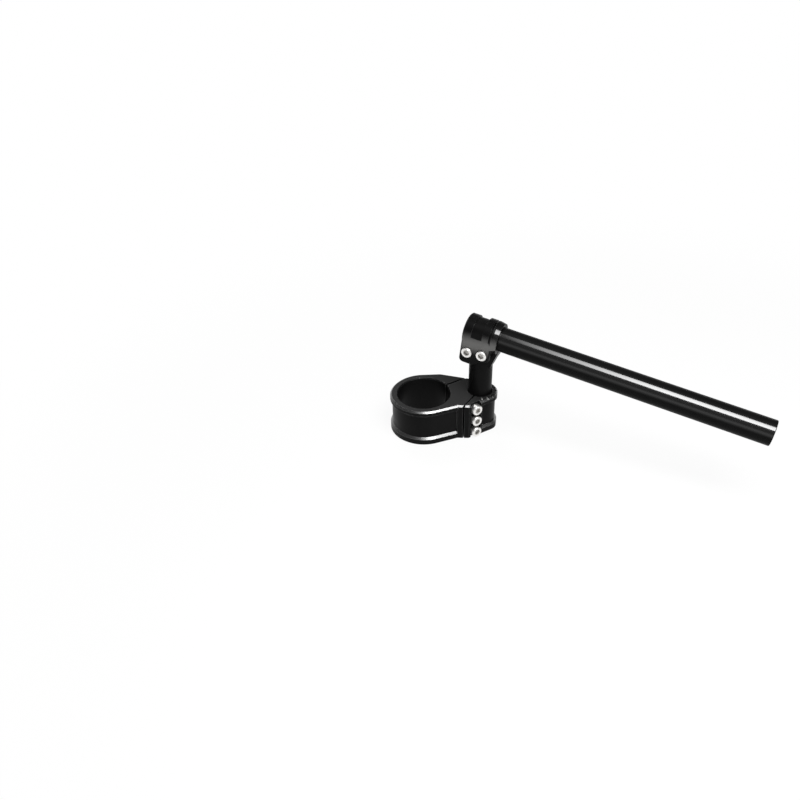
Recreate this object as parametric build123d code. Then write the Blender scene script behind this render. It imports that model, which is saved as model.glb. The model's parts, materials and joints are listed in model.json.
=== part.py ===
from build123d import *
import math
import os

# Sizes in millimetres and degrees. The origin is on the fork leg's axis, half-way up the clamp.
# +Z is up along the fork leg, +X runs from the fork leg to the riser's post, and the rider is on -Y.

# Fork clamp
fork_diameter = 50.0
clamp_height = 38.0
ring_wall = 7.0
boss_wall = 5.7
face_wall = 6.2
waist_depth = 2.0
top_chamfer = 1.5
rim_height = 3.0
foot_height = 5.0
foot_chamfer = 1.0
bore_chamfer = 0.8
fork_slit = 2.0
post_slit = 1.5
post_slit_lean = 27.0
lug_run = 9.0
lug_corner = 6.0
pad_reach = 12.8
pad_round = 10.0
ear_reach = 37.5
ear_turn = 50.0
ear_round = 11.5
mark_step = 20.0
mark_span = 180.0
mark_length = 4.0
mark_width = 1.2
mark_depth = 1.0

# Pinch bolts of the fork clamp
bolt_lean = 26.5
fork_bolt_wall = 4.0
post_bolt_wall = 1.4
bolt_edge = 1.5
seat_depth = 3.0
thread_grip = 9.0

# Socket-head screws
screw_diameter = 6.0
head_diameter = 10.0
head_height = 6.0
socket_width = 5.0
socket_depth = 3.0
head_chamfer = 0.6
tip_chamfer = 0.8
hole_clearance = 0.2
head_clearance = 0.5

# Riser
post_diameter = 22.0
post_clearance = 0.05
post_chamfer = 1.0
bar_height = 67.8
bar_offset = 7.0
bar_sweep = 30.7
bar_droop = 6.8
head_inner = 11.0
head_outer = 21.5
inner_flange = 8.0
outer_flange = 14.0
outer_rise = 0.7
end_band = 6.0
band_taper = 10.0
band_groove = 2.0
loop_wall = 3.5
loop_recess = 1.3
loop_chamfer = 1.0
head_slit = 1.5
slit_to_post = 0.2
lip_thickness = 7.8
lip_outer = 17.0
lip_edge = 7.4
lip_flat = 12.0
lip_rise = 8.8
lip_round = 4.0
lip_chamfer = 1.0
bolt_spacing = 14.0
bolt_to_bar = 0.3
bolt_shift = 1.0
bolt_recess = 4.2
bolt_grip = 11.5
back_margin = 0.5
gusset_width = 12.0
gusset_drop = 36.0

# Bar
bar_diameter = 22.2
bar_wall = 3.0
bar_reach = 258.0
bar_inset = 1.0
bar_clearance = 0.05
bar_chamfer = 0.5

# Derived sizes
fork_radius = fork_diameter / 2
ring_radius = fork_radius + ring_wall
post_radius = post_diameter / 2
post_bore = post_radius + post_clearance
boss_radius = post_radius + boss_wall
screw_radius = screw_diameter / 2
hole_radius = screw_radius + hole_clearance
head_radius = head_diameter / 2
bar_radius = bar_diameter / 2
bar_bore = bar_radius + bar_clearance
clamp_top = clamp_height / 2

# The pinch bolts pass between the two bores, so these walls set the distance between the axes.
bolt_line = fork_radius + fork_bolt_wall + hole_radius
post_line = bolt_line + hole_radius + post_bolt_wall + post_bore
post_distance = post_line / math.cos(math.radians(bolt_lean))

# Axes of the pinch bolts: X across them from the fork leg towards the post, Y along them to the tips.
bolt_axes = Rot(0, 0, bolt_lean)
post_along = -post_distance * math.sin(math.radians(bolt_lean))
face_depth = post_radius + face_wall
front_face = post_along - face_depth
bolt_seat = front_face + seat_depth
bolt_tip = fork_slit / 2 + thread_grip
bolt_pitch = (clamp_height - head_diameter - 2 * bolt_edge) / 2
bolt_levels = [-bolt_pitch, 0, bolt_pitch]

# The post's slit leaves through the middle of the lug's slanted corner.
slit_run = (face_depth - lug_corner / 2) / math.tan(math.radians(post_slit_lean))
lug_start = post_line - slit_run - lug_run / 2

# Axes of the riser's head: X outwards along the bar, Y away from the rider, Z up across the bar.
sweep = math.radians(bar_sweep)
droop = math.radians(bar_droop)
bar_direction = Vector(
    math.cos(droop) * math.cos(sweep),
    -math.cos(droop) * math.sin(sweep),
    -math.sin(droop),
)
to_rider = Vector(-math.sin(sweep), -math.cos(sweep), 0)
bar_level = clamp_top + bar_height
bar_point = Vector(post_distance, 0, bar_level) + to_rider * bar_offset
head_axes = Plane(origin=bar_point, x_dir=bar_direction, z_dir=bar_direction.cross(to_rider) * -1)

# Depths of the head, measured from the bar's axis towards the rider or away.
slit_back = post_radius - bar_offset + slit_to_post
slit_front = slit_back + head_slit
head_front = slit_front + lip_thickness
head_back = post_radius + bar_offset + back_margin
loop_radius = bar_radius + loop_wall
flange_radius = loop_radius + outer_rise
head_bolt_rise = bolt_spacing / 2 * math.tan(droop)
head_bolt_drop = bar_bore + hole_radius + bolt_to_bar + head_bolt_rise
head_bolt_middle = head_bolt_drop * math.tan(droop) + bolt_shift
head_bolt_seat = bolt_recess - head_front
recess_radius = head_radius + head_clearance
lip_drop = head_bolt_drop + recess_radius + lip_edge
gusset_foot = gusset_drop * math.tan(droop) + post_radius


def rod(radius, start, end):
    """A round bar along X."""
    return Pos((start + end) / 2, 0, 0) * Rot(0, 90, 0) * Cylinder(radius, end - start)


def plate(outline, front, back):
    """An outline in X and Z, made solid from one depth in Y to another."""
    return extrude(Pos(0, back, 0) * (Plane.XZ * outline), back - front, dir=(0, -1, 0))


def near(shape, x, y):
    """The corner of a flat outline nearest a point."""
    return shape.vertices().sort_by_distance((x, y, 0))[0]


def cap_screw(length):
    """A socket-head screw along Z, with its seat at zero and its tip below."""
    head = Cylinder(head_radius, head_height, align=(Align.CENTER, Align.CENTER, Align.MIN))
    head = chamfer(head.faces().sort_by(Axis.Z)[-1].edges(), head_chamfer)
    shank = Pos(0, 0, -length) * Cylinder(screw_radius, length, align=(Align.CENTER, Align.CENTER, Align.MIN))
    shank = chamfer(shank.faces().sort_by(Axis.Z)[0].edges(), tip_chamfer)
    socket = RegularPolygon(socket_width / 2, 6, major_radius=False)
    socket = extrude(Pos(0, 0, head_height - socket_depth) * socket, socket_depth)
    return head + shank - socket


def clamp_outline(inset):
    """Plan of the clamp's body: ring, boss and the ear about the bolts' threads, with straight flanks."""
    ear_place = Rot(0, 0, ear_turn) * Pos(ear_reach - ear_round, 0)
    circles = [
        Circle(ring_radius - inset),
        Pos(post_distance, 0) * Circle(boss_radius - inset),
        ear_place * Circle(ear_round - inset),
    ]
    return make_hull([circle.edge() for circle in circles])


def bolt_pad(end, bottom, top):
    """The flat-faced lug under the bolt heads, in the bolts' axes, up to a place across them."""
    outline = Polygon(
        (lug_start, post_along), (lug_start, front_face + lug_corner), (lug_start + lug_run, front_face),
        (end, front_face), (end, post_along), align=None,
    )
    return extrude(Pos(0, 0, bottom) * outline, top - bottom, dir=(0, 0, 1))


def rim_pad(bottom, top):
    """The lug's face where the rims carry it on past the post, to a round corner."""
    pad = bolt_pad(post_line + pad_reach, bottom, top)
    corner = pad.edges().filter_by(Axis.Z).sort_by(Axis.X)[-2:].sort_by(Axis.Y)[0]
    return fillet(corner, pad_round)


def break_edges(shape, level, bevel):
    """Bevels the free edges of a lug's top or bottom: those on its face, its corner and its end."""
    edges = shape.edges().filter_by_position(Axis.Z, level, level)
    free = edges.sort_by(Axis.X)[:-1].sort_by(Axis.Y)[:-1]
    return chamfer(free, bevel)


def bevelled_slab(bottom, top, bottom_bevel, top_bevel):
    """One rim of the clamp, with its outer edges broken above and below."""
    body = extrude(Pos(0, 0, bottom) * clamp_outline(0), top - bottom)
    body = chamfer(body.faces().sort_by(Axis.Z)[-1].edges(), top_bevel)
    body = chamfer(body.faces().sort_by(Axis.Z)[0].edges(), bottom_bevel)
    pad = break_edges(rim_pad(bottom, top), top, top_bevel)
    return body + bolt_axes * break_edges(pad, bottom, bottom_bevel)


def flared_bore(radius):
    """A through bore with both mouths broken."""
    bore = Cylinder(radius, clamp_height)
    mouth = Cone(radius, radius + bore_chamfer, bore_chamfer)
    for side in (0, 180):
        bore += Rot(side, 0, 0) * Pos(0, 0, clamp_top - bore_chamfer / 2) * mouth
    return bore


def angle_marks():
    """Notches in the boss's top edge, for setting the bar's angle."""
    notch = Pos(boss_radius - mark_length / 2, 0, clamp_top) * Box(mark_length, mark_width, 2 * mark_depth)
    count = int(mark_span / mark_step)
    angles = [mark_step * (i - count / 2) for i in range(count + 1)]
    return [Pos(post_distance, 0, 0) * Rot(0, 0, angle) * notch for angle in angles]


def make_fork_clamp():
    """One milled piece: ring, web and boss, slit on both bores so that one set of bolts closes them."""
    low = -clamp_top + foot_chamfer
    high = clamp_top - top_chamfer
    clamp = extrude(Pos(0, 0, low) * clamp_outline(waist_depth), high - low)
    clamp += bolt_axes * bolt_pad(bolt_line + recess_radius + bolt_edge, low, high)
    clamp += bevelled_slab(high - rim_height - waist_depth, clamp_top, waist_depth, top_chamfer)
    clamp += bevelled_slab(-clamp_top, low + foot_height + waist_depth, foot_chamfer, waist_depth)

    clamp -= flared_bore(fork_radius)
    clamp -= Pos(post_distance, 0, 0) * flared_bore(post_bore)

    reach = post_distance + boss_radius
    slit_align = (Align.MIN, Align.CENTER, Align.CENTER)
    clamp -= bolt_axes * Box(reach, fork_slit, clamp_height, align=slit_align)
    slit_turn = Rot(0, 0, 180 + post_slit_lean)
    post_place = bolt_axes * Pos(post_line, post_along, 0)
    clamp -= post_place * slit_turn * Box(reach, post_slit, clamp_height, align=slit_align)

    seat_width = 2 * recess_radius
    seat = Box(seat_width, 2 * seat_depth, clamp_height)
    clamp -= bolt_axes * Pos(bolt_line, front_face, 0) * seat
    for level in bolt_levels:
        line = bolt_axes * Pos(bolt_line, 0, level) * Rot(90, 0, 0)
        along = (Align.CENTER, Align.CENTER, Align.MIN)
        clamp -= line * Cylinder(hole_radius, -front_face, align=along)
        clamp -= line * Rot(180, 0, 0) * Cylinder(screw_radius, bolt_tip, align=along)
    for notch in angle_marks():
        clamp -= notch
    return clamp


def make_pinch_bolts():
    """Three long screws across both slits, with their heads on the rider's side."""
    screw = cap_screw(bolt_tip - bolt_seat)
    place = [bolt_axes * Pos(bolt_line, bolt_seat, level) * Rot(90, 0, 0) for level in bolt_levels]
    return Compound(children=[spot * screw for spot in place])


def make_loop():
    """The round part of the head about the bar: a flange at each end, and a tapered band past a groove."""
    inner = rod(loop_radius, -head_inner, inner_flange - head_inner)
    inner = chamfer(inner.faces().sort_by(Axis.X)[0].edges(), loop_chamfer)
    outer = rod(flange_radius, head_outer - outer_flange, head_outer - end_band - band_groove)
    band = Cone(flange_radius, flange_radius - end_band * math.tan(math.radians(band_taper)), end_band)
    band = Pos(head_outer - end_band / 2, 0, 0) * Rot(0, 90, 0) * band
    return inner + outer + band + rod(loop_radius - loop_recess, -head_inner, head_outer)


def make_lip():
    """The jaw on the rider's side, with its front edges broken."""
    foot = lip_rise - lip_drop
    outline = Polygon(
        (-head_inner, 0), (-head_inner, -lip_drop), (lip_flat - head_inner, -lip_drop), (lip_outer, foot),
        (lip_outer, -loop_wall), (head_outer - end_band, 0), align=None,
    )
    outline = fillet(near(outline, -head_inner, -lip_drop), lip_round)
    outline = fillet(near(outline, lip_outer, foot), lip_round / 2)
    lip = plate(outline, -head_front, -slit_front)
    front = lip.faces().sort_by(Axis.Y)[0]
    return chamfer(front.edges().sort_by(Axis.Z)[:-1], lip_chamfer)


def make_back():
    """The solid back of the head, with a rear wall from the loop down to the post, and a gusset."""
    slant = (head_outer - gusset_foot) / (gusset_drop - loop_radius)
    outer = head_outer - slant * (lip_drop - loop_radius)
    outline = Polygon(
        (-head_inner, 0), (-head_inner, -lip_drop), (outer, -lip_drop),
        (head_outer, -loop_radius), (head_outer, 0), align=None,
    )
    outline = fillet(near(outline, -head_inner, -lip_drop), lip_round)
    block = plate(outline, -slit_back, head_back)

    shoulder = lip_drop - lip_round
    turn = math.atan2(-shoulder, head_back) + math.acos(loop_radius / math.hypot(head_back, shoulder))
    touch = (loop_radius * math.cos(turn), loop_radius * math.sin(turn))
    side = Polygon(
        (-slit_back, touch[1]), (-slit_back, -lip_drop), (head_back, -lip_drop),
        (head_back, -shoulder), touch, align=None,
    )
    block &= Pos(-head_inner, 0, 0) * extrude(Plane.YZ * side, head_inner + head_outer, dir=(1, 0, 0))

    web = Polygon(
        (0, -lip_drop), (0, -gusset_drop), (gusset_foot, -gusset_drop), (outer, -lip_drop), align=None
    )
    return block + plate(web, bar_offset - gusset_width / 2, bar_offset + gusset_width / 2)


def make_riser():
    """The post with its head, in one piece."""
    head = head_axes * (make_loop() + make_lip() + make_back())
    post_top = bar_level - lip_drop + lip_round / 2
    post = Pos(post_distance, 0, -clamp_top) * Cylinder(
        post_radius, post_top + clamp_top, align=(Align.CENTER, Align.CENTER, Align.MIN)
    )
    post = chamfer(post.faces().sort_by(Axis.Z)[0].edges(), post_chamfer)
    riser = head + post

    length = head_inner + head_outer
    middle = (head_outer - head_inner) / 2
    riser -= head_axes * rod(bar_bore, -head_inner, head_outer)
    slit = Box(length, head_slit, 2 * lip_drop, align=(Align.CENTER, Align.MIN, Align.MAX))
    riser -= head_axes * Pos(middle, -slit_front, 0) * slit
    front = Box(length, loop_radius, 2 * lip_drop, align=(Align.CENTER, Align.MAX, Align.CENTER))
    riser -= head_axes * Pos(middle, -head_front, 0) * front
    for x, z in head_bolt_places():
        line = head_axes * Pos(x, 0, z) * Rot(-90, 0, 0)
        down = (Align.CENTER, Align.CENTER, Align.MIN)
        riser -= line * Pos(0, 0, -head_front) * Cylinder(recess_radius, bolt_recess, align=down)
        riser -= line * Pos(0, 0, head_bolt_seat) * Cylinder(
            hole_radius, -head_bolt_seat - slit_back, align=down
        )
        riser -= line * Pos(0, 0, -slit_back) * Cylinder(screw_radius, bolt_grip, align=down)
    return riser


def head_bolt_places():
    """Where the two screws stand in the head: on a level line, either side of the post's axis."""
    return [
        (head_bolt_middle + side * bolt_spacing / 2, side * head_bolt_rise - head_bolt_drop)
        for side in (-1, 1)
    ]


def make_head_bolts():
    """Two screws that pull the lip against the back of the head."""
    screw = cap_screw(bolt_grip - slit_back - head_bolt_seat)
    place = [head_axes * Pos(x, head_bolt_seat, z) * Rot(90, 0, 0) for x, z in head_bolt_places()]
    return Compound(children=[spot * screw for spot in place])


def make_bar():
    """A plain tube, cut square at both ends."""
    tube = rod(bar_radius, bar_inset - head_inner, bar_reach)
    tube -= rod(bar_radius - bar_wall, bar_inset - head_inner, bar_reach)
    ends = tube.faces().sort_by(Axis.X)
    tube = chamfer(ends[0].outer_wire().edges() + ends[-1].outer_wire().edges(), bar_chamfer)
    return head_axes * tube


os.makedirs("parts", exist_ok=True)
export_step(make_fork_clamp(), "parts/fork_clamp.step")
export_step(make_pinch_bolts(), "parts/pinch_bolts.step")
export_step(make_riser(), "parts/riser.step")
export_step(make_head_bolts(), "parts/head_bolts.step")
export_step(make_bar(), "parts/bar_tube.step")
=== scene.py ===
import json
import math

import bmesh
import bpy
from mathutils import Matrix, Vector


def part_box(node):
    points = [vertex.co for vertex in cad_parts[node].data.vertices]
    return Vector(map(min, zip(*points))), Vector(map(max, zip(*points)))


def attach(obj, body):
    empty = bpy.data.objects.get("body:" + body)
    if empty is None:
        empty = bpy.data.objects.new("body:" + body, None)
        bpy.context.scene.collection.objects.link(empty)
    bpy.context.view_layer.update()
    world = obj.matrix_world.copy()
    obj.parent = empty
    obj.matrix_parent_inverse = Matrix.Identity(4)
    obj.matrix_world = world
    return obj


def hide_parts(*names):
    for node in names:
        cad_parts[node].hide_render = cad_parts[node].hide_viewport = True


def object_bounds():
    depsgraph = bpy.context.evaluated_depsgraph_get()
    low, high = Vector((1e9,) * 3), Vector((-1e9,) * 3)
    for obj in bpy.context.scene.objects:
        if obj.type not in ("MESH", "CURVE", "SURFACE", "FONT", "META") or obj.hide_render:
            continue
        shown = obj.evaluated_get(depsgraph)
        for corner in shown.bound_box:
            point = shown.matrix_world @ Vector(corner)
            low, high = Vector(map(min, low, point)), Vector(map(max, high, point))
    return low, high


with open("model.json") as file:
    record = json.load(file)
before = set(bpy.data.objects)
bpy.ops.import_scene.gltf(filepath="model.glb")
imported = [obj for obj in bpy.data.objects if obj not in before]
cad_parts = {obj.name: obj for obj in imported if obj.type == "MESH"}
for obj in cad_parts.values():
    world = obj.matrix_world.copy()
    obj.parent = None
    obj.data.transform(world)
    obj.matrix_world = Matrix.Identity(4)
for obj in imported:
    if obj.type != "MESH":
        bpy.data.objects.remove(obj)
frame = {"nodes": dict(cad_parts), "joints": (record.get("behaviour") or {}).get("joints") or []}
cad_low, cad_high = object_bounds()

# Metres and degrees, in the part's own frame: +Z up along the fork leg, the rider on -Y.
MM = 0.001
UP = Vector((0, 0, 1))
WHITE = (1, 1, 1, 1)

# Cap screws: head, socket, knurl, shank, thread and tip
SCREW_RADIUS = 3.0 * MM
SCREW_SIDES = 72
HEAD_RADIUS = 5.0 * MM
HEAD_HEIGHT = 6.0 * MM
HEAD_CHAMFER = 0.6 * MM
SOCKET_SIDES = 6
SOCKET_INRADIUS = 2.5 * MM
SOCKET_DEPTH = 3.0 * MM
SOCKET_POINT = 0.7 * MM
SOCKET_MOUTH = 0.25 * MM
MOUTH_SHADE = 0.6
KNURL_DEPTH = 0.16 * MM
KNURL_MARGIN = 0.5 * MM
THREAD_PITCH = 1.0 * MM
THREAD_DEPTH = 0.61 * MM
THREAD_STEPS = 8
UNDERCUT = 0.3 * MM
TIP_CHAMFER = 0.8 * MM
SEAM_SLACK = 0.001 * MM
SHARP_ANGLE = 32.0
PINCH_ROW = {"count": 3, "upright": True, "threaded": 18.0 * MM, "seed": 3}
HEAD_ROW = {"count": 2, "upright": False, "threaded": 14.0 * MM, "seed": 5}

# Tool grain: fine marks, and a slow drift whose span sets the gloss
GRAIN_DETAIL = 3.0
GRAIN_ROUGHNESS = 0.6
DRIFT_DETAIL = 2.0
DRIFT_SPAN = (0.3, 0.7)

# How edges, bevels and flat faces are told apart
EDGE_SAMPLES = 6
EDGE_RADIUS = 0.3 * MM
EDGE_GAIN = 6.0
BEVEL_SLOPE = 0.707
BEVEL_SPREAD = 0.12
FLAT_SPAN = (0.96, 0.99)
LEVEL_SLACK = 0.1 * MM

# Black anodise: the dye of all three pieces, then what each piece's cutting leaves on it
DYE_DEEP = (0.0025, 0.0025, 0.0025, 1)
DYE_PALE = (0.005, 0.005, 0.005, 1)
RELIEF_DEPTH = 0.05 * MM
CLAMP_LOOK = {
    "stretch": (1, 1, 1), "fineness": 4500.0, "drift_fineness": 70.0, "relief": 0.12,
    "roughness": (0.32, 0.42), "specular": 0.06,
    "edge": (0.20, 0.20, 0.20, 1), "edge_radius": EDGE_RADIUS, "edge_roughness": 0.26,
    "bevels_from": 27.0 * MM,
}
RISER_LOOK = {
    "stretch": (1, 1, 0.25), "fineness": 3000.0, "drift_fineness": 60.0, "relief": 0.12,
    "roughness": (0.32, 0.42), "specular": 0.06,
    "edge": (0.07, 0.07, 0.07, 1), "edge_radius": EDGE_RADIUS, "edge_roughness": 0.24,
}
BAR_LOOK = {
    "stretch": (30, 1, 1), "fineness": 2500.0, "drift_fineness": 160.0, "relief": 0.003,
    "roughness": (0.30, 0.40), "specular": 0.04,
    "edge": (0.07, 0.07, 0.07, 1), "edge_radius": 0.25 * MM, "edge_roughness": 0.2,
}

# Toned flat faces: the clamp's top, lighter than its sides as painted light from above; the floors of its
# angle notches; and a lighter band on the lip of the riser's head, fading to painted shade towards the bottom
# round the screws.
# The lip's tone fades between pairs of a dark and a light height, counted from the bar's axis,
# which lies HEAD_TOP under the top of the head.
TOP_PAINTED_LIGHT_TONE = (0.020, 0.020, 0.020, 1)
NOTCH_TONE = (0.50, 0.50, 0.49, 1)
NOTCH_DEPTH = 1.0 * MM
LIP_BAND_TONE = (0.125, 0.124, 0.121, 1)
LIP_SHADE_FADES = ((-18.0 * MM, -7.0 * MM), (7.0 * MM, -5.0 * MM))
HEAD_TOP = 16.0 * MM

# Clear seal on the bar and on the head's end band, left off the under side as painted shade, with the rise of
# the surface over which the one turns into the other
SEAL_FOCUS = 4.0
SEAL_ROUGHNESS = 0.12
SEAL_SHADE_RISE = (0.1, 0.6)
BAR_SEAL_IOR = 1.85
BAND_SEAL_IOR = 1.7
BAND_WIDTH = 6.0 * MM

# Screw steel, with the grain wound round each screw's own axis, and painted shade down in the socket and the
# thread
STEEL_TONE = (0.86, 0.85, 0.83, 1)
STEEL_RECESS_SHADE_TONE = (0.55, 0.54, 0.52, 1)
STEEL_ROUGHNESS = (0.36, 0.48)
STEEL_FINENESS = 9000.0
STEEL_DRIFT_FINENESS = 900.0
STEEL_RELIEF = 0.15
STEEL_RELIEF_DEPTH = 0.02 * MM
LATHE_STRETCH = (1, 0.0002, 1)

# Camera
VIEW_TARGET = Vector((-23.187, -9.541, 19.0)) * MM
VIEW_DISTANCE = 795.95 * MM
VIEW_AZIMUTH = -2.82
VIEW_ELEVATION = 35.51
VIEW_ROLL = -1.59
SENSOR_WIDTH = 36.0
FOCAL_PIXELS = 850.0
PICTURE_PIXELS = 800.0
NEAR_CLIP = 10.0 * MM

# Studio: paper floor, room light from the horizon to overhead, and two soft boxes placed along the bar
FLOOR_RADIUS = 8.0
FLOOR_SIDES = 96
FLOOR_WHITE = (0.8, 0.8, 0.8, 1)
FLOOR_LIFT = (0.90, 1.0)
FLOOR_FADE = (0.25, 0.60)
SKY_LEVELS = (1.0, 0.12)
SKY_FADE = (0.0, 0.45)
KEY = {
    "along": 0.385, "across": 0.280, "height": 0.86, "length": 0.80, "width": 0.50, "radiance": 12.0,
    "dim_levels": (0.05, 1.0), "dim_span": (0.0, 0.34),
}
RIM = {
    "along": -0.75, "across": -0.60, "height": 0.90, "length": 0.90, "width": 0.60, "radiance": 5.0,
}

# Where a Mix node takes its two values and gives its result
MIX_SOCKETS = {"FLOAT": (2, 3, 0), "RGBA": (6, 7, 2)}


# Building blocks

def link(piece):
    """Puts a new object in the scene."""
    bpy.context.scene.collection.objects.link(piece)
    return piece


def feed(tree, socket, value):
    """Sets an input to a number, or joins it to another node's output."""
    if isinstance(value, bpy.types.NodeSocket):
        tree.links.new(value, socket)
    else:
        socket.default_value = value


def node(tree, kind, settings=None, **inputs):
    """Adds a node: its settings by name, and its inputs by socket name with _ for a space."""
    made = tree.nodes.new(kind)
    for name, value in (settings or {}).items():
        setattr(made, name, value)
    for name, value in inputs.items():
        feed(tree, made.inputs[name.replace("_", " ")], value)
    return made


def maths(tree, operation, *values, kind="ShaderNodeMath"):
    """One step of arithmetic on up to three values."""
    made = tree.nodes.new(kind)
    made.operation = operation
    for socket, value in zip(made.inputs, values):
        feed(tree, socket, value)
    return made.outputs[0]


def vector_maths(tree, operation, first, second):
    """One step of arithmetic on two vectors, with its Vector and its Value."""
    made = node(tree, "ShaderNodeVectorMath", {"operation": operation})
    feed(tree, made.inputs[0], first)
    feed(tree, made.inputs[1], second)
    return made.outputs


def split(tree, vector):
    """The parts of a vector, by axis."""
    return node(tree, "ShaderNodeSeparateXYZ", Vector=vector).outputs


def ramp(tree, value, span, levels=(0.0, 1.0), smooth=False):
    """Takes a value over a span from one level to another, straight or smoothly."""
    return node(
        tree, "ShaderNodeMapRange", {"interpolation_type": "SMOOTHSTEP" if smooth else "LINEAR"},
        Value=value, From_Min=span[0], From_Max=span[1], To_Min=levels[0], To_Max=levels[1],
    ).outputs[0]


def mix(tree, kind, share, first, second):
    """Mixes two numbers (FLOAT) or two colours (RGBA) by a share."""
    made = node(tree, "ShaderNodeMix", {"data_type": kind})
    first_socket, second_socket, result = MIX_SOCKETS[kind]
    feed(tree, made.inputs[0], share)
    feed(tree, made.inputs[first_socket], first)
    feed(tree, made.inputs[second_socket], second)
    return made.outputs[result]


def bare_tree(owner):
    """The emptied node tree of a material, a lamp or the world."""
    owner.use_nodes = True
    owner.node_tree.nodes.clear()
    return owner.node_tree


def surface(tree, kind, shader):
    """Joins a shader to the output node of its tree."""
    tree.links.new(shader.outputs[0], tree.nodes.new(kind).inputs["Surface"])


# Cap screws

def screw_profile(name, length, threaded):
    """Half outline of a cap screw along Z, from socket floor to tip, with marks for what turning adds and for
    painted shade in the socket and the thread.
    """
    corner = SOCKET_INRADIUS / math.cos(math.pi / SOCKET_SIDES)
    floor = HEAD_HEIGHT - SOCKET_DEPTH
    neck = HEAD_RADIUS - KNURL_DEPTH

    def at(radius, height, hexagon=0, knurl=0, thread=0, recess_shade=0):
        return radius, height, hexagon, knurl, thread, recess_shade

    # The recess mark paints shade down in the socket and the thread.
    rows = [
        at(0, floor - SOCKET_POINT, recess_shade=1),
        at(SOCKET_INRADIUS, floor, hexagon=1, recess_shade=1),
        at(SOCKET_INRADIUS, HEAD_HEIGHT - SOCKET_MOUTH, hexagon=1, recess_shade=MOUTH_SHADE),
        at(corner + SOCKET_MOUTH, HEAD_HEIGHT),
        at(HEAD_RADIUS - HEAD_CHAMFER, HEAD_HEIGHT),
        at(neck, HEAD_HEIGHT - HEAD_CHAMFER + KNURL_DEPTH),
        at(HEAD_RADIUS, HEAD_HEIGHT - HEAD_CHAMFER, knurl=1),
        at(HEAD_RADIUS, KNURL_MARGIN + KNURL_DEPTH, knurl=1),
        at(neck, KNURL_MARGIN),
        at(neck, UNDERCUT),
        at(neck - UNDERCUT, 0),
        at(SCREW_RADIUS + UNDERCUT, 0),
        at(SCREW_RADIUS, -UNDERCUT),
        at(SCREW_RADIUS, threaded - length),
    ]
    steps = round((threaded - TIP_CHAMFER) / THREAD_PITCH * THREAD_STEPS)
    for i in range(1, steps):
        run_in = min(1, i / THREAD_STEPS, (steps - i) / THREAD_STEPS)
        level = threaded - length - i * THREAD_PITCH / THREAD_STEPS
        rows.append(at(SCREW_RADIUS, level, thread=run_in, recess_shade=run_in))
    rows += [
        at(SCREW_RADIUS, TIP_CHAMFER - length),
        at(SCREW_RADIUS - TIP_CHAMFER, -length),
        at(0, -length),
    ]
    mesh = bpy.data.meshes.new(name)
    mesh.from_pydata([(row[0], 0, row[1]) for row in rows], [(i, i + 1) for i in range(len(rows) - 1)], [])
    for k, mark in enumerate(("hexagon", "knurl", "thread", "recess_shade"), start=2):
        values = mesh.attributes.new(mark, "FLOAT", "POINT").data
        values.foreach_set("value", [row[k] for row in rows])
    return link(bpy.data.objects.new(name, mesh))


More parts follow.
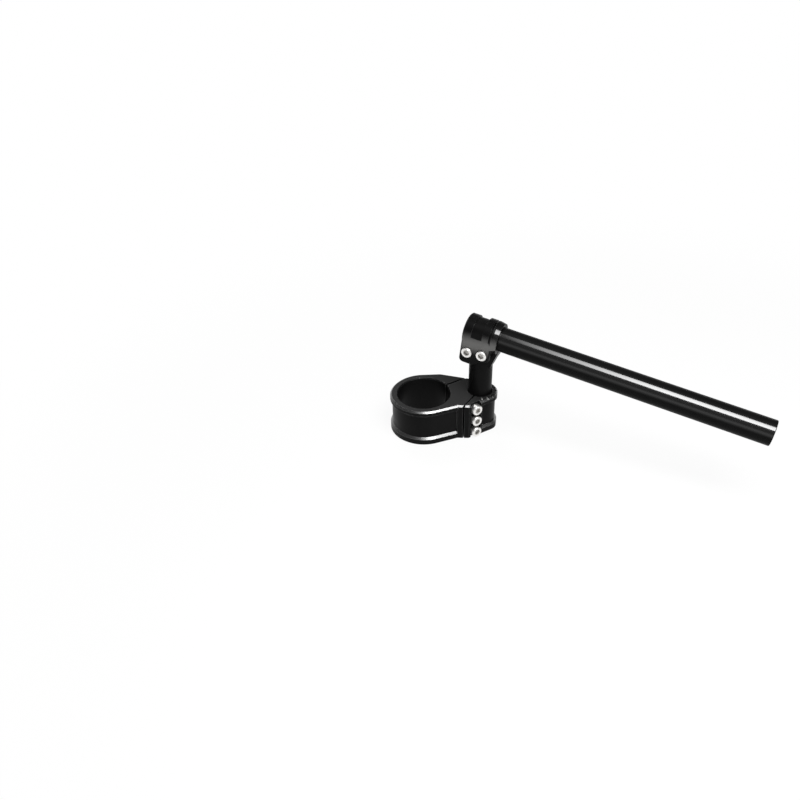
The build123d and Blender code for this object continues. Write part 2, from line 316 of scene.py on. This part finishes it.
def screw_tree():
    """Turns a half outline into a screw and sets a row of them, each clocked its own way."""
    tree = bpy.data.node_groups.new("cap screw row", "GeometryNodeTree")
    sockets = [
        ("Outline", "INPUT", "NodeSocketGeometry"),
        ("Sides", "INPUT", "NodeSocketInt"),
        ("Knurl Depth", "INPUT", "NodeSocketFloat"),
        ("Thread Depth", "INPUT", "NodeSocketFloat"),
        ("Thread Pitch", "INPUT", "NodeSocketFloat"),
        ("Count", "INPUT", "NodeSocketInt"),
        ("First Seat", "INPUT", "NodeSocketVector"),
        ("Step", "INPUT", "NodeSocketVector"),
        ("Direction", "INPUT", "NodeSocketVector"),
        ("Seed", "INPUT", "NodeSocketInt"),
        ("Finish", "INPUT", "NodeSocketMaterial"),
        ("Screws", "OUTPUT", "NodeSocketGeometry"),
    ]
    for name, way, kind in sockets:
        tree.interface.new_socket(name, in_out=way, socket_type=kind)
    size = tree.nodes.new("NodeGroupInput").outputs

    def whole(operation, *values):
        return maths(tree, operation, *values, kind="FunctionNodeIntegerMath")

    # A sheet with a column for each side of the screw and a row for each point of the outline
    count = node(tree, "GeometryNodeAttributeDomainSize", Geometry=size["Outline"]).outputs["Point Count"]
    sheet = node(
        tree, "GeometryNodeMeshGrid", Vertices_X=whole("ADD", size["Sides"], 1), Vertices_Y=count
    ).outputs["Mesh"]
    index = tree.nodes.new("GeometryNodeInputIndex").outputs[0]
    row = whole("MODULO", index, count)
    column = whole("DIVIDE_FLOOR", index, count)

    def along_outline(value, kind):
        return node(
            tree, "GeometryNodeSampleIndex", {"data_type": kind},
            Geometry=size["Outline"], Value=value, Index=row,
        ).outputs[0]

    def mark(name):
        found = node(tree, "GeometryNodeInputNamedAttribute", {"data_type": "FLOAT"}, Name=name)
        return along_outline(found.outputs["Attribute"], "FLOAT")

    place = split(tree, along_outline(tree.nodes.new("GeometryNodeInputPosition").outputs[0], "FLOAT_VECTOR"))
    turn = maths(tree, "DIVIDE", column, size["Sides"])
    angle = maths(tree, "MULTIPLY", turn, math.tau)

    # Radius: the socket's flats, then the knurl's valleys, then the thread's groove
    side_turn = maths(tree, "MODULO", angle, math.tau / SOCKET_SIDES)
    corner = maths(tree, "SUBTRACT", side_turn, math.pi / SOCKET_SIDES)
    flare = maths(tree, "SUBTRACT", maths(tree, "DIVIDE", 1, maths(tree, "COSINE", corner)), 1)
    radius = maths(tree, "MULTIPLY", place["X"], maths(tree, "MULTIPLY_ADD", flare, mark("hexagon"), 1))
    valley = maths(tree, "MULTIPLY", whole("MODULO", column, 2), size["Knurl Depth"])
    radius = maths(tree, "SUBTRACT", radius, maths(tree, "MULTIPLY", valley, mark("knurl")))
    helix = maths(tree, "ADD", maths(tree, "DIVIDE", place["Z"], size["Thread Pitch"]), turn)
    helix = maths(tree, "PINGPONG", maths(tree, "MULTIPLY", helix, 2), 1)
    groove = maths(tree, "MULTIPLY", helix, size["Thread Depth"])
    radius = maths(tree, "SUBTRACT", radius, maths(tree, "MULTIPLY", groove, mark("thread")))

    # The sheet wrapped round the screw's axis, with what the steel reads stored on it
    wrapped = node(
        tree, "ShaderNodeCombineXYZ",
        X=maths(tree, "MULTIPLY", radius, maths(tree, "COSINE", angle)),
        Y=maths(tree, "MULTIPLY", radius, maths(tree, "SINE", angle)),
        Z=place["Z"],
    ).outputs[0]
    lathe = node(tree, "ShaderNodeCombineXYZ", X=radius, Y=turn, Z=place["Z"]).outputs[0]
    screw = node(tree, "GeometryNodeSetPosition", Geometry=sheet, Position=wrapped).outputs[0]
    for name, value, kind in (("recess_shade", mark("recess_shade"), "FLOAT"), ("lathe", lathe, "FLOAT_VECTOR")):
        screw = node(
            tree, "GeometryNodeStoreNamedAttribute", {"data_type": kind},
            Geometry=screw, Name=name, Value=value,
        ).outputs[0]
    screw = node(tree, "GeometryNodeMergeByDistance", Geometry=screw, Distance=SEAM_SLACK).outputs[0]

    # A row of seats, with a screw on each, turned at random (input 3 is the largest turn)
    seats = node(
        tree, "GeometryNodeMeshLine",
        Count=size["Count"], Start_Location=size["First Seat"], Offset=size["Step"],
    ).outputs[0]
    upright = node(
        tree, "FunctionNodeAlignRotationToVector", {"axis": "Z"}, Vector=size["Direction"]
    ).outputs[0]
    clock = node(tree, "FunctionNodeRandomValue", {"data_type": "FLOAT"}, Seed=size["Seed"])
    clock.inputs[3].default_value = math.tau
    clock = node(tree, "ShaderNodeCombineXYZ", Z=clock.outputs[1]).outputs[0]
    screws = node(
        tree, "GeometryNodeInstanceOnPoints", Points=seats, Instance=screw, Rotation=upright
    ).outputs[0]
    screws = node(tree, "GeometryNodeRotateInstances", Instances=screws, Rotation=clock).outputs[0]
    screws = node(tree, "GeometryNodeRealizeInstances", Geometry=screws).outputs[0]
    screws = node(tree, "GeometryNodeSetMaterial", Geometry=screws, Material=size["Finish"]).outputs[0]
    tree.links.new(screws, tree.nodes.new("NodeGroupOutput").inputs["Screws"])
    return tree


def flat_direction(name):
    """The direction that the flat end faces of a node's screws look, towards their heads."""
    mesh = frame["nodes"][name].data
    areas = {}
    for face in mesh.polygons:
        key = tuple(round(value, 3) for value in face.normal)
        areas[key] = areas.get(key, 0) + face.area
    axis = Vector(max(areas, key=areas.get)).normalized()
    levels = [point.co @ axis for point in mesh.vertices]
    middle = (min(levels) + max(levels)) / 2
    near_top = sum(level > middle for level in levels)
    return axis if near_top > len(levels) / 2 else -axis


def screw_row(name, count, upright):
    """Where a node's screws sit: first seat, step to the next, head direction and length under the head."""
    axis = flat_direction(name)
    along = UP if upright else axis.cross(UP).normalized()
    across = axis.cross(along)
    points = [point.co for point in frame["nodes"][name].data.vertices]
    spans = [(min(p @ way for p in points), max(p @ way for p in points)) for way in (axis, along, across)]
    (tip, top), (start, end), (side, far_side) = spans
    first = along * (start + HEAD_RADIUS) + across * (side + far_side) / 2 + axis * (top - HEAD_HEIGHT)
    step = along * (end - start - 2 * HEAD_RADIUS) / (count - 1)
    return first, step, axis, top - HEAD_HEIGHT - tip


def make_screws(name, stands_for, body, row, tree, finish):
    """A row of cap screws as one mesh, in place of the node's plain ones."""
    first, step, axis, length = screw_row(stands_for, row["count"], row["upright"])
    outline = screw_profile(name + "_outline", length, row["threaded"])
    values = {
        "Sides": SCREW_SIDES,
        "Knurl Depth": KNURL_DEPTH,
        "Thread Depth": THREAD_DEPTH,
        "Thread Pitch": THREAD_PITCH,
        "Count": row["count"],
        "First Seat": first,
        "Step": step,
        "Direction": axis,
        "Seed": row["seed"],
        "Finish": finish,
    }
    lathe = outline.modifiers.new("turn", "NODES")
    lathe.node_group = tree
    for item in tree.interface.items_tree:
        if item.name in values:
            lathe[item.identifier] = values[item.name]
    depsgraph = bpy.context.evaluated_depsgraph_get()
    mesh = bpy.data.meshes.new_from_object(outline.evaluated_get(depsgraph))
    mesh.name = name
    bpy.data.objects.remove(outline)
    mesh.shade_smooth()
    mesh.set_sharp_from_angle(angle=math.radians(SHARP_ANGLE))
    piece = link(bpy.data.objects.new(name, mesh))
    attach(piece, body)
    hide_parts(stands_for)


# Shared effects

def effect_group(name, inputs, outputs):
    """An empty shader node group with named sockets."""
    tree = bpy.data.node_groups.new(name, "ShaderNodeTree")
    for socket, kind, value in inputs:
        made = tree.interface.new_socket(socket, in_out="INPUT", socket_type=kind)
        if value is not None:
            made.default_value = value
    for socket, kind in outputs:
        tree.interface.new_socket(socket, in_out="OUTPUT", socket_type=kind)
    return tree, tree.nodes.new("NodeGroupInput").outputs, tree.nodes.new("NodeGroupOutput").inputs


def grain_group():
    """Fine marks of the tool or the blasting, as a height, with a slow drift in dye and gloss."""
    tree, given, result = effect_group(
        "tool grain",
        [("Place", "NodeSocketVector", None), ("Fineness", "NodeSocketFloat", 1.0),
         ("Drift Fineness", "NodeSocketFloat", 1.0)],
        [("Height", "NodeSocketFloat"), ("Drift", "NodeSocketFloat")],
    )
    fine = node(
        tree, "ShaderNodeTexNoise", Vector=given["Place"], Scale=given["Fineness"],
        Detail=GRAIN_DETAIL, Roughness=GRAIN_ROUGHNESS,
    )
    slow = node(
        tree, "ShaderNodeTexNoise", Vector=given["Place"], Scale=given["Drift Fineness"],
        Detail=DRIFT_DETAIL,
    )
    tree.links.new(fine.outputs[0], result["Height"])
    tree.links.new(slow.outputs[0], result["Drift"])
    return tree


def edge_group():
    """Softly broken edges: a rounded normal, and a mask that is strong along the edge itself."""
    tree, given, result = effect_group(
        "broken edges",
        [("Radius", "NodeSocketFloat", EDGE_RADIUS), ("Gain", "NodeSocketFloat", EDGE_GAIN)],
        [("Normal", "NodeSocketVector"), ("Edge", "NodeSocketFloat")],
    )
    soft = node(tree, "ShaderNodeBevel", {"samples": EDGE_SAMPLES}, Radius=given["Radius"]).outputs[0]
    flat = tree.nodes.new("ShaderNodeNewGeometry").outputs["Normal"]
    match = vector_maths(tree, "DOT_PRODUCT", soft, flat)["Value"]
    turned = maths(tree, "SUBTRACT", 1.0, match)
    edge = node(tree, "ShaderNodeClamp", Value=maths(tree, "MULTIPLY", turned, given["Gain"]))
    tree.links.new(soft, result["Normal"])
    tree.links.new(edge.outputs[0], result["Edge"])
    return tree


def bevel_group():
    """Where a face slopes as the cut bevels do, outside the mouth of a bore on the Z axis."""
    tree, given, result = effect_group(
        "cut bevels",
        [("Slope", "NodeSocketFloat", BEVEL_SLOPE), ("Spread", "NodeSocketFloat", BEVEL_SPREAD),
         ("Bore Radius", "NodeSocketFloat", 0.0)],
        [("Bevel", "NodeSocketFloat")],
    )
    coordinates = tree.nodes.new("ShaderNodeTexCoord").outputs
    rise = maths(tree, "ABSOLUTE", split(tree, coordinates["Normal"])["Z"])
    off = maths(tree, "ABSOLUTE", maths(tree, "SUBTRACT", rise, given["Slope"]))
    near = maths(tree, "SUBTRACT", 1.0, maths(tree, "DIVIDE", off, given["Spread"]))
    mask = node(tree, "ShaderNodeClamp", Value=near).outputs[0]
    place = split(tree, coordinates["Object"])
    squares = [maths(tree, "POWER", place[axis], 2.0) for axis in "XY"]
    reach = maths(tree, "SQRT", maths(tree, "ADD", *squares))
    outside = maths(tree, "GREATER_THAN", reach, given["Bore Radius"])
    tree.links.new(maths(tree, "MULTIPLY", mask, outside), result["Bevel"])
    return tree


def face_group():
    """The flat face that looks one way and lies at one level that way."""
    tree, given, result = effect_group(
        "faced plane",
        [("Way", "NodeSocketVector", UP), ("Level", "NodeSocketFloat", 0.0)],
        [("Mask", "NodeSocketFloat")],
    )
    coordinates = tree.nodes.new("ShaderNodeTexCoord").outputs
    look = vector_maths(tree, "DOT_PRODUCT", coordinates["Normal"], given["Way"])["Value"]
    reach = vector_maths(tree, "DOT_PRODUCT", coordinates["Object"], given["Way"])["Value"]
    there = maths(tree, "COMPARE", reach, given["Level"], LEVEL_SLACK)
    tree.links.new(maths(tree, "MULTIPLY", ramp(tree, look, FLAT_SPAN), there), result["Mask"])
    return tree


def grouped(tree, effect, **inputs):
    """Places a shared effect in a material."""
    return node(tree, "ShaderNodeGroup", {"node_tree": effect}, **inputs).outputs


# Finishes

def new_finish(name):
    """An empty node material with its shader."""
    finish = bpy.data.materials.new(name)
    tree = bare_tree(finish)
    shader = tree.nodes.new("ShaderNodeBsdfPrincipled")
    surface(tree, "ShaderNodeOutputMaterial", shader)
    return finish, tree, shader


def add_seal(tree, shader, coordinates, bump, seal):
    """A clear seal that is fullest face on and left off the under side as painted shade, all over or on an
    end band.
    """
    edge_on = tree.nodes.new("ShaderNodeLayerWeight").outputs["Facing"]
    weight = maths(tree, "POWER", maths(tree, "SUBTRACT", 1.0, edge_on), SEAL_FOCUS)
    if "band" in seal:
        way, start = seal["band"]
        along = vector_maths(tree, "DOT_PRODUCT", coordinates["Object"], way)["Value"]
        weight = maths(tree, "MULTIPLY", weight, maths(tree, "GREATER_THAN", along, start))
    # Gloss left off the under side, a painted shade below.
    underside_shade = ramp(tree, split(tree, coordinates["Normal"])["Z"], SEAL_SHADE_RISE, smooth=True)
    tree.links.new(maths(tree, "MULTIPLY", weight, underside_shade), shader.inputs["Coat Weight"])
    tree.links.new(bump, shader.inputs["Coat Normal"])
    shader.inputs["Coat IOR"].default_value = seal["ior"]
    shader.inputs["Coat Roughness"].default_value = SEAL_ROUGHNESS


def black_anodise(name, look, effects, planes=(), seal=None, turn=(0, 0, 0), centre=(0, 0, 0)):
    """Black anodised aluminium: dyed oxide over a milled, turned or drawn surface, with brighter edges."""
    finish, tree, shader = new_finish(name)
    coordinates = tree.nodes.new("ShaderNodeTexCoord").outputs
    here = coordinates["Object"]
    place = node(
        tree, "ShaderNodeMapping", {"vector_type": "TEXTURE"},
        Vector=here, Location=centre, Rotation=turn, Scale=look["stretch"],
    ).outputs[0]
    marks = grouped(
        tree, effects["grain"],
        Place=place, Fineness=look["fineness"], Drift_Fineness=look["drift_fineness"],
    )
    brink = grouped(tree, effects["edges"], Radius=look["edge_radius"])
    bright = brink["Edge"]
    if "bevels_from" in look:
        slope = grouped(tree, effects["bevels"], Bore_Radius=look["bevels_from"])
        bright = maths(tree, "MAXIMUM", slope["Bevel"], bright)
    tree.links.new(bright, shader.inputs["Metallic"])

    tone = mix(tree, "RGBA", marks["Drift"], DYE_DEEP, DYE_PALE)
    height = split(tree, here)["Z"]
    # Flat faces at a level take their own tone: painted light on the clamp's top, a lighter band fading to
    # painted shade on the riser's lip, the notch floors' own colour.
    for way, level, fades, colour in planes:
        mask = grouped(tree, effects["planes"], Way=way, Level=level)["Mask"]
        for fade in fades:
            mask = maths(tree, "MULTIPLY", mask, ramp(tree, height, fade, smooth=True))
        tone = mix(tree, "RGBA", mask, tone, colour)
    tree.links.new(mix(tree, "RGBA", bright, tone, look["edge"]), shader.inputs["Base Color"])

    rough = ramp(tree, marks["Drift"], DRIFT_SPAN, look["roughness"])
    gloss = mix(tree, "FLOAT", bright, rough, look["edge_roughness"])
    tree.links.new(gloss, shader.inputs["Roughness"])
    bump = node(
        tree, "ShaderNodeBump", Strength=look["relief"], Distance=RELIEF_DEPTH,
        Height=marks["Height"], Normal=brink["Normal"],
    ).outputs[0]
    tree.links.new(bump, shader.inputs["Normal"])
    shader.inputs["Specular IOR Level"].default_value = look["specular"]
    if seal:
        add_seal(tree, shader, coordinates, bump, seal)
    return finish


def bright_steel(grain):
    """Turned stainless screw steel, with painted shade down in the socket and the thread."""
    finish, tree, shader = new_finish("bright screw steel")
    lathe = node(tree, "ShaderNodeAttribute", {"attribute_name": "lathe"}).outputs["Vector"]
    rings = vector_maths(tree, "MULTIPLY", lathe, LATHE_STRETCH)["Vector"]
    marks = grouped(
        tree, grain, Place=rings, Fineness=STEEL_FINENESS, Drift_Fineness=STEEL_DRIFT_FINENESS
    )
    # The recess mark darkens the socket and the thread: painted shade.
    recess_shade = node(tree, "ShaderNodeAttribute", {"attribute_name": "recess_shade"}).outputs["Fac"]
    tone = mix(tree, "RGBA", recess_shade, STEEL_TONE, STEEL_RECESS_SHADE_TONE)
    tree.links.new(tone, shader.inputs["Base Color"])
    rough = ramp(tree, marks["Drift"], DRIFT_SPAN, STEEL_ROUGHNESS)
    tree.links.new(rough, shader.inputs["Roughness"])
    bump = node(
        tree, "ShaderNodeBump", Strength=STEEL_RELIEF, Distance=STEEL_RELIEF_DEPTH, Height=marks["Height"]
    ).outputs[0]
    tree.links.new(bump, shader.inputs["Normal"])
    shader.inputs["Metallic"].default_value = 1.0
    return finish


def paper_white():
    """Matt white paper that reads white to the camera and in reflections, and keeps the shadow."""
    finish = bpy.data.materials.new("white paper")
    tree = bare_tree(finish)
    paper = node(tree, "ShaderNodeBsdfDiffuse", Color=FLOOR_WHITE)
    glow = node(tree, "ShaderNodeEmission", Color=WHITE, Strength=1.0)
    here = tree.nodes.new("ShaderNodeTexCoord").outputs["Object"]
    away = vector_maths(tree, "DISTANCE", here, (cad_low + cad_high) / 2)["Value"]
    lift = ramp(tree, away, FLOOR_FADE, FLOOR_LIFT, smooth=True)
    path = tree.nodes.new("ShaderNodeLightPath").outputs
    seen = maths(tree, "MAXIMUM", path["Is Camera Ray"], path["Is Glossy Ray"])
    seen = maths(tree, "MAXIMUM", seen, path["Is Transmission Ray"])
    mixed = node(tree, "ShaderNodeMixShader", Fac=maths(tree, "MULTIPLY", seen, lift))
    tree.links.new(paper.outputs[0], mixed.inputs[1])
    tree.links.new(glow.outputs[0], mixed.inputs[2])
    surface(tree, "ShaderNodeOutputMaterial", mixed)
    return finish


# Studio

def make_floor():
    """A wide paper floor under the clamp."""
    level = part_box("fork_clamp")[0].z
    shape = bmesh.new()
    bmesh.ops.create_circle(shape, cap_ends=True, segments=FLOOR_SIDES, radius=FLOOR_RADIUS)
    mesh = bpy.data.meshes.new("paper_floor")
    shape.to_mesh(mesh)
    shape.free()
    mesh.transform(Matrix.Translation((0, 0, level)))
    mesh.materials.append(paper_white())
    link(bpy.data.objects.new("paper_floor", mesh))


def make_sky():
    """Room light: bright along the horizon and dim overhead."""
    world = bpy.data.worlds.new("studio room")
    bpy.context.scene.world = world
    tree = bare_tree(world)
    ray = tree.nodes.new("ShaderNodeTexCoord").outputs["Generated"]
    level = ramp(tree, split(tree, ray)["Z"], SKY_FADE, SKY_LEVELS, smooth=True)
    room = node(tree, "ShaderNodeBackground", Color=WHITE, Strength=level)
    surface(tree, "ShaderNodeOutputWorld", room)


def make_softbox(name, box, direction):
    """A soft box that hangs level over the part, along a direction, and can be dimmer at its near end."""
    lamp = bpy.data.lights.new(name, "AREA")
    lamp.shape = "RECTANGLE"
    lamp.size = box["length"]
    lamp.size_y = box["width"]
    lamp.energy = box["radiance"] * math.pi * box["length"] * box["width"]
    if "dim_span" in box:
        tree = bare_tree(lamp)
        spot = tree.nodes.new("ShaderNodeNewGeometry").outputs["Parametric"]
        level = ramp(tree, split(tree, spot)["X"], box["dim_span"], box["dim_levels"])
        glow = node(tree, "ShaderNodeEmission", Color=WHITE, Strength=level)
        surface(tree, "ShaderNodeOutputLight", glow)
    side = Vector((direction.x, direction.y, 0)).normalized()
    away = UP.cross(side)
    turn = Matrix((side, away, UP)).transposed()
    place = side * box["along"] - away * box["across"] + UP * box["height"]
    link(bpy.data.objects.new(name, lamp)).matrix_world = Matrix.Translation(place) @ turn.to_4x4()


def facing(azimuth, elevation):
    """Unit direction from the part: azimuth 0 on the rider's side and positive to the right."""
    turn, rise = math.radians(azimuth), math.radians(elevation)
    return Vector((math.sin(turn) * math.cos(rise), -math.cos(turn) * math.cos(rise), math.sin(rise)))


def make_camera():
    """The photograph's view of the part."""
    lens = bpy.data.cameras.new("camera")
    lens.sensor_width = SENSOR_WIDTH
    lens.lens = FOCAL_PIXELS / PICTURE_PIXELS * SENSOR_WIDTH
    lens.clip_start = NEAR_CLIP
    camera = link(bpy.data.objects.new("camera", lens))
    back = facing(VIEW_AZIMUTH, VIEW_ELEVATION)
    level = (-back).to_track_quat("-Z", "Y").to_matrix().to_4x4()
    roll = Matrix.Rotation(math.radians(VIEW_ROLL), 4, "Z")
    camera.matrix_world = Matrix.Translation(VIEW_TARGET + back * VIEW_DISTANCE) @ level @ roll
    bpy.context.scene.camera = camera


# The part

def joint(name):
    """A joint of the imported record."""
    return next(item for item in frame["joints"] if item["name"] == name)


def farthest(name, way):
    """How far a CAD node reaches in a direction."""
    return max(point.co @ way for point in frame["nodes"][name].data.vertices)


def dress(name, finish):
    """Gives a CAD node its finish."""
    slots = frame["nodes"][name].data.materials
    slots.clear()
    slots.append(finish)


effects = {
    "grain": grain_group(), "edges": edge_group(), "bevels": bevel_group(), "planes": face_group(),
}
bar_axis = Vector(joint("bar_slide")["axis"])
bar_turn = bar_axis.to_track_quat("X", "Z").to_euler()
post_axis = Vector(joint("post_swivel")["pos_m"])
to_rider = Vector((bar_axis.y, -bar_axis.x, 0)).normalized()

clamp_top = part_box("fork_clamp")[1].z
# The clamp's top face takes a lighter tone, painted light from above.
dress("fork_clamp", black_anodise(
    "black anodise, milled clamp", CLAMP_LOOK, effects,
    planes=[(UP, clamp_top, (), TOP_PAINTED_LIGHT_TONE), (UP, clamp_top - NOTCH_DEPTH, (), NOTCH_TONE)],
))

# The lip of the riser's head takes a lighter band, fading to painted shade towards the bottom round the
# screws.
head_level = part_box("riser")[1].z - HEAD_TOP
lip_shade_fades = [(head_level + dark, head_level + light) for dark, light in LIP_SHADE_FADES]
band_start = farthest("riser", bar_axis) - BAND_WIDTH
# The end band's seal, like the bar's, is left off the under side as painted shade.
dress("riser", black_anodise(
    "black anodise, turned riser", RISER_LOOK, effects,
    planes=[(to_rider, farthest("riser", to_rider), lip_shade_fades, LIP_BAND_TONE)],
    seal={"ior": BAND_SEAL_IOR, "band": (bar_axis, band_start)},
    centre=post_axis,
))

# The bar's seal is left off its under side, a painted shade.
dress("bar_tube", black_anodise(
    "black anodise, drawn bar", BAR_LOOK, effects, seal={"ior": BAR_SEAL_IOR}, turn=bar_turn
))

screws = screw_tree()
steel = bright_steel(effects["grain"])
make_screws("pinch_screws", "pinch_bolts", "clamp", PINCH_ROW, screws, steel)
make_screws("head_screws", "head_bolts", "riser", HEAD_ROW, screws, steel)

make_floor()
make_sky()
make_softbox("key_softbox", KEY, bar_axis)
make_softbox("rim_softbox", RIM, bar_axis)
make_camera()
bpy.context.scene.view_settings.view_transform = "Standard"
